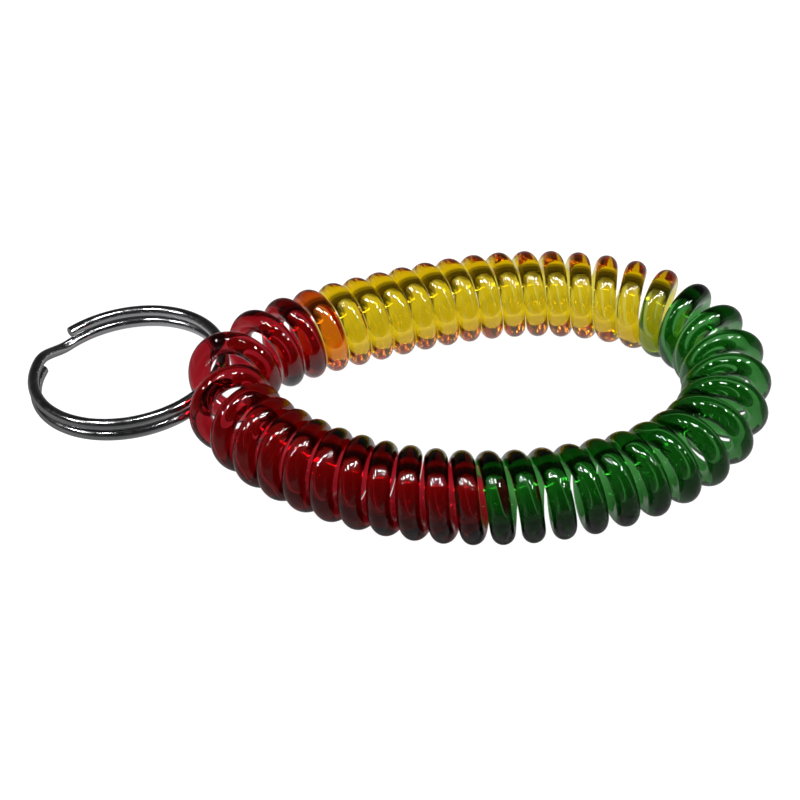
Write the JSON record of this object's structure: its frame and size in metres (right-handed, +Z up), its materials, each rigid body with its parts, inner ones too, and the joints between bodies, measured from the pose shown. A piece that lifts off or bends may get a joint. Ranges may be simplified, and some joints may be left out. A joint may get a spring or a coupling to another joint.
{
  "type": "wrist coil key holder",
  "caption": "Translucent spring-coil wrist loop, red, yellow and green along one rod, with a steel split ring threaded on one turn; the coil stretches and springs back.",
  "frame": {"origin": "centre of the underside of the whole object, loop and key ring together", "axes": "+Z up through the loop, +X along it from the key ring to the far end, +Y across it"},
  "size_m": [0.1044, 0.055, 0.0123],
  "materials": {
    "coil_green": "clear gloss, transparent green",
    "coil_yellow_green": "clear gloss, yellow running into green",
    "coil_yellow": "clear gloss, transparent yellow",
    "coil_orange": "clear gloss, red running into yellow",
    "coil_red": "clear gloss, transparent red",
    "ring_steel": "polished nickel-plated steel"
  },
  "bodies": {
    "turn_01": {"coil_turn_01_green": "coil_green"},
    "turn_02": {"coil_turn_02_green": "coil_green"},
    "turn_03": {"coil_turn_03_green": "coil_green"},
    "turn_04": {"coil_turn_04_green": "coil_green"},
    "turn_05": {"coil_turn_05_green": "coil_green"},
    "turn_06": {"coil_turn_06_green": "coil_green"},
    "turn_07": {"coil_turn_07_green": "coil_green"},
    "turn_08": {"coil_turn_08_green": "coil_green"},
    "turn_09": {"coil_turn_09_green": "coil_green"},
    "turn_10": {"coil_turn_10_green": "coil_green"},
    "turn_11": {"coil_turn_11_green": "coil_green"},
    "turn_12": {"coil_turn_12_green": "coil_green"},
    "turn_13": {"coil_turn_13_green": "coil_green"},
    "turn_14": {"coil_turn_14_green": "coil_green"},
    "turn_15": {"coil_turn_15_yellow_green": "coil_yellow_green"},
    "turn_16": {"coil_turn_16_yellow": "coil_yellow"},
    "turn_17": {"coil_turn_17_yellow": "coil_yellow"},
    "turn_18": {"coil_turn_18_yellow": "coil_yellow"},
    "turn_19": {"coil_turn_19_yellow": "coil_yellow"},
    "turn_20": {"coil_turn_20_yellow": "coil_yellow"},
    "turn_21": {"coil_turn_21_yellow": "coil_yellow"},
    "turn_22": {"coil_turn_22_yellow": "coil_yellow"},
    "turn_23": {"coil_turn_23_yellow": "coil_yellow"},
    "turn_24": {"coil_turn_24_yellow": "coil_yellow"},
    "turn_25": {"coil_turn_25_yellow": "coil_yellow"},
    "turn_26": {"coil_turn_26_yellow": "coil_yellow"},
    "turn_27": {"coil_turn_27_yellow": "coil_yellow"},
    "turn_28": {"coil_turn_28_yellow": "coil_yellow"},
    "turn_29": {"coil_turn_29_orange": "coil_orange"},
    "turn_30": {"coil_turn_30_red": "coil_red"},
    "turn_31": {"coil_turn_31_red": "coil_red"},
    "turn_32": {"coil_turn_32_red": "coil_red"},
    "turn_33": {"coil_turn_33_red": "coil_red"},
    "turn_34": {"coil_turn_34_red": "coil_red"},
    "turn_35": {"coil_turn_35_red": "coil_red"},
    "turn_36": {"coil_turn_36_red": "coil_red"},
    "turn_37": {"coil_turn_37_red": "coil_red"},
    "turn_38": {"coil_turn_38_red": "coil_red"},
    "turn_39": {"coil_turn_39_red": "coil_red"},
    "turn_40": {"coil_turn_40_red": "coil_red"},
    "turn_41": {"coil_turn_41_red": "coil_red"},
    "turn_42": {"coil_turn_42_red": "coil_red"},
    "turn_43": {"coil_turn_43_red": "coil_red"},
    "ring": {"split_ring_main": "ring_steel"},
    "ring_lifting_end": {"split_ring_lifting_end": "ring_steel"}
  },
  "joints": [
    {"name": "stretch", "type": "slide", "parent": "turn_32", "child": "turn_31", "axis": [0.456, 0.89, 0], "range_m": [0, 0.00404], "stiffness_N_per_m": 400},
    {"name": "stretch_turn_30", "type": "slide", "parent": "turn_31", "child": "turn_30", "axis": [0.7833, 0.6216, 0], "range_m": [0, 0.00301]},
    {"name": "stretch_turn_29", "type": "slide", "parent": "turn_30", "child": "turn_29", "axis": [0.8771, 0.4804, 0], "range_m": [0, 0.00246]},
    {"name": "stretch_turn_28", "type": "slide", "parent": "turn_29", "child": "turn_28", "axis": [0.9142, 0.4053, 0], "range_m": [0, 0.00228]},
    {"name": "stretch_turn_27", "type": "slide", "parent": "turn_28", "child": "turn_27", "axis": [0.9307, 0.3657, 0], "range_m": [0, 0.00218]},
    {"name": "stretch_turn_26", "type": "slide", "parent": "turn_27", "child": "turn_26", "axis": [0.9378, 0.3471, 0], "range_m": [0, 0.00212]},
    {"name": "stretch_turn_25", "type": "slide", "parent": "turn_26", "child": "turn_25", "axis": [0.9424, 0.3345, 0], "range_m": [0, 0.00211]},
    {"name": "stretch_turn_24", "type": "slide", "parent": "turn_25", "child": "turn_24", "axis": [0.9494, 0.3142, 0], "range_m": [0, 0.00212]},
    {"name": "stretch_turn_23", "type": "slide", "parent": "turn_24", "child": "turn_23", "axis": [0.9603, 0.2789, 0], "range_m": [0, 0.00215]},
    {"name": "stretch_turn_22", "type": "slide", "parent": "turn_23", "child": "turn_22", "axis": [0.9735, 0.2286, 0], "range_m": [0, 0.00217]},
    {"name": "stretch_turn_21", "type": "slide", "parent": "turn_22", "child": "turn_21", "axis": [0.9861, 0.1664, 0], "range_m": [0, 0.00219]},
    {"name": "stretch_turn_20", "type": "slide", "parent": "turn_21", "child": "turn_20", "axis": [0.9955, 0.0951, 0], "range_m": [0, 0.00221]},
    {"name": "stretch_turn_19", "type": "slide", "parent": "turn_20", "child": "turn_19", "axis": [0.9999, 0.0157, 0], "range_m": [0, 0.00224]},
    {"name": "stretch_turn_18", "type": "slide", "parent": "turn_19", "child": "turn_18", "axis": [0.9973, -0.0728, 0], "range_m": [0, 0.00228]},
    {"name": "stretch_turn_17", "type": "slide", "parent": "turn_18", "child": "turn_17", "axis": [0.9849, -0.1734, 0], "range_m": [0, 0.00235]},
    {"name": "stretch_turn_16", "type": "slide", "parent": "turn_17", "child": "turn_16", "axis": [0.9566, -0.2914, 0], "range_m": [0, 0.00246]},
    {"name": "stretch_turn_15", "type": "slide", "parent": "turn_16", "child": "turn_15", "axis": [0.9002, -0.4356, 0], "range_m": [0, 0.00261]},
    {"name": "stretch_turn_14", "type": "slide", "parent": "turn_15", "child": "turn_14", "axis": [0.7881, -0.6155, 0], "range_m": [0, 0.00285]},
    {"name": "stretch_turn_13", "type": "slide", "parent": "turn_14", "child": "turn_13", "axis": [0.5754, -0.8179, 0], "range_m": [0, 0.00312]},
    {"name": "stretch_turn_12", "type": "slide", "parent": "turn_13", "child": "turn_12", "axis": [0.2754, -0.9613, 0], "range_m": [0, 0.00311]},
    {"name": "stretch_turn_11", "type": "slide", "parent": "turn_12", "child": "turn_11", "axis": [-0.0053, -1, 0], "range_m": [0, 0.00298]},
    {"name": "stretch_turn_10", "type": "slide", "parent": "turn_11", "child": "turn_10", "axis": [-0.2615, -0.9652, 0], "range_m": [0, 0.00303]},
    {"name": "stretch_turn_09", "type": "slide", "parent": "turn_10", "child": "turn_09", "axis": [-0.5084, -0.8611, 0], "range_m": [0, 0.00302]},
    {"name": "stretch_turn_08", "type": "slide", "parent": "turn_09", "child": "turn_08", "axis": [-0.6948, -0.7192, 0], "range_m": [0, 0.00287]},
    {"name": "stretch_turn_07", "type": "slide", "parent": "turn_08", "child": "turn_07", "axis": [-0.812, -0.5837, 0], "range_m": [0, 0.00272]},
    {"name": "stretch_turn_06", "type": "slide", "parent": "turn_07", "child": "turn_06", "axis": [-0.8845, -0.4665, 0], "range_m": [0, 0.00261]},
    {"name": "stretch_turn_05", "type": "slide", "parent": "turn_06", "child": "turn_05", "axis": [-0.9311, -0.3648, 0], "range_m": [0, 0.00253]},
    {"name": "stretch_turn_04", "type": "slide", "parent": "turn_05", "child": "turn_04", "axis": [-0.9617, -0.2741, 0], "range_m": [0, 0.00246]},
    {"name": "stretch_turn_03", "type": "slide", "parent": "turn_04", "child": "turn_03", "axis": [-0.9816, -0.1908, 0], "range_m": [0, 0.0024]},
    {"name": "stretch_turn_02", "type": "slide", "parent": "turn_03", "child": "turn_02", "axis": [-0.9937, -0.1122, 0], "range_m": [0, 0.00234]},
    {"name": "stretch_turn_01", "type": "slide", "parent": "turn_02", "child": "turn_01", "axis": [-0.9993, -0.0362, 0], "range_m": [0, 0.0023]},
    {"name": "stretch_turn_33", "type": "slide", "parent": "turn_32", "child": "turn_33", "axis": [0.2209, -0.9753, 0], "range_m": [0, 0.00377]},
    {"name": "stretch_turn_34", "type": "slide", "parent": "turn_33", "child": "turn_34", "axis": [0.5861, -0.8102, 0], "range_m": [0, 0.0027]},
    {"name": "stretch_turn_35", "type": "slide", "parent": "turn_34", "child": "turn_35", "axis": [0.7175, -0.6966, 0], "range_m": [0, 0.00242]},
    {"name": "stretch_turn_36", "type": "slide", "parent": "turn_35", "child": "turn_36", "axis": [0.7941, -0.6078, 0], "range_m": [0, 0.00232]},
    {"name": "stretch_turn_37", "type": "slide", "parent": "turn_36", "child": "turn_37", "axis": [0.8519, -0.5237, 0], "range_m": [0, 0.00228]},
    {"name": "stretch_turn_38", "type": "slide", "parent": "turn_37", "child": "turn_38", "axis": [0.8985, -0.4389, 0], "range_m": [0, 0.00226]},
    {"name": "stretch_turn_39", "type": "slide", "parent": "turn_38", "child": "turn_39", "axis": [0.9352, -0.3542, 0], "range_m": [0, 0.00224]},
    {"name": "stretch_turn_40", "type": "slide", "parent": "turn_39", "child": "turn_40", "axis": [0.9624, -0.2715, 0], "range_m": [0, 0.00222]},
    {"name": "stretch_turn_41", "type": "slide", "parent": "turn_40", "child": "turn_41", "axis": [0.9815, -0.1916, 0], "range_m": [0, 0.00222]},
    {"name": "stretch_turn_42", "type": "slide", "parent": "turn_41", "child": "turn_42", "axis": [0.9934, -0.1143, 0], "range_m": [0, 0.00224]},
    {"name": "stretch_turn_43", "type": "slide", "parent": "turn_42", "child": "turn_43", "axis": [0.9992, -0.0388, 0], "range_m": [0, 0.00226]},
    {"name": "ring_swing", "type": "hinge", "parent": "turn_32", "child": "ring", "pos_m": [-0.02318, 0.00286, 0.00614], "axis": [0.3181, 0.948, 0], "range_deg": [-0.5, 30]},
    {"name": "ring_prise", "type": "hinge", "parent": "ring", "child": "ring_lifting_end", "pos_m": [-0.02501, 0.01021, 0.00591], "axis": [-0.2484, 0.9624, -0.1097], "range_deg": [0, 5], "stiffness_Nm_per_rad": 0.02}
  ],
  "couplings": [
    {"joint": "stretch_turn_30", "follows": "stretch", "ratio": 0.74327},
    {"joint": "stretch_turn_29", "follows": "stretch", "ratio": 0.60889},
    {"joint": "stretch_turn_28", "follows": "stretch", "ratio": 0.56312},
    {"joint": "stretch_turn_27", "follows": "stretch", "ratio": 0.53844},
    {"joint": "stretch_turn_26", "follows": "stretch", "ratio": 0.52422},
    {"joint": "stretch_turn_25", "follows": "stretch", "ratio": 0.5205},
    {"joint": "stretch_turn_24", "follows": "stretch", "ratio": 0.52458},
    {"joint": "stretch_turn_23", "follows": "stretch", "ratio": 0.53112},
    {"joint": "stretch_turn_22", "follows": "stretch", "ratio": 0.53663},
    {"joint": "stretch_turn_21", "follows": "stretch", "ratio": 0.54111},
    {"joint": "stretch_turn_20", "follows": "stretch", "ratio": 0.54608},
    {"joint": "stretch_turn_19", "follows": "stretch", "ratio": 0.55342},
    {"joint": "stretch_turn_18", "follows": "stretch", "ratio": 0.56469},
    {"joint": "stretch_turn_17", "follows": "stretch", "ratio": 0.58166},
    {"joint": "stretch_turn_16", "follows": "stretch", "ratio": 0.60692},
    {"joint": "stretch_turn_15", "follows": "stretch", "ratio": 0.64558},
    {"joint": "stretch_turn_14", "follows": "stretch", "ratio": 0.70465},
    {"joint": "stretch_turn_13", "follows": "stretch", "ratio": 0.7705},
    {"joint": "stretch_turn_12", "follows": "stretch", "ratio": 0.76893},
    {"joint": "stretch_turn_11", "follows": "stretch", "ratio": 0.73578},
    {"joint": "stretch_turn_10", "follows": "stretch", "ratio": 0.7485},
    {"joint": "stretch_turn_09", "follows": "stretch", "ratio": 0.74733},
    {"joint": "stretch_turn_08", "follows": "stretch", "ratio": 0.71023},
    {"joint": "stretch_turn_07", "follows": "stretch", "ratio": 0.67361},
    {"joint": "stretch_turn_06", "follows": "stretch", "ratio": 0.64633},
    {"joint": "stretch_turn_05", "follows": "stretch", "ratio": 0.62535},
    {"joint": "stretch_turn_04", "follows": "stretch", "ratio": 0.60779},
    {"joint": "stretch_turn_03", "follows": "stretch", "ratio": 0.59245},
    {"joint": "stretch_turn_02", "follows": "stretch", "ratio": 0.57898},
    {"joint": "stretch_turn_01", "follows": "stretch", "ratio": 0.5676},
    {"joint": "stretch_turn_33", "follows": "stretch", "ratio": 0.9326},
    {"joint": "stretch_turn_34", "follows": "stretch", "ratio": 0.66876},
    {"joint": "stretch_turn_35", "follows": "stretch", "ratio": 0.59734},
    {"joint": "stretch_turn_36", "follows": "stretch", "ratio": 0.57373},
    {"joint": "stretch_turn_37", "follows": "stretch", "ratio": 0.56407},
    {"joint": "stretch_turn_38", "follows": "stretch", "ratio": 0.55789},
    {"joint": "stretch_turn_39", "follows": "stretch", "ratio": 0.55296},
    {"joint": "stretch_turn_40", "follows": "stretch", "ratio": 0.54992},
    {"joint": "stretch_turn_41", "follows": "stretch", "ratio": 0.54967},
    {"joint": "stretch_turn_42", "follows": "stretch", "ratio": 0.55258},
    {"joint": "stretch_turn_43", "follows": "stretch", "ratio": 0.55866}
  ]
}
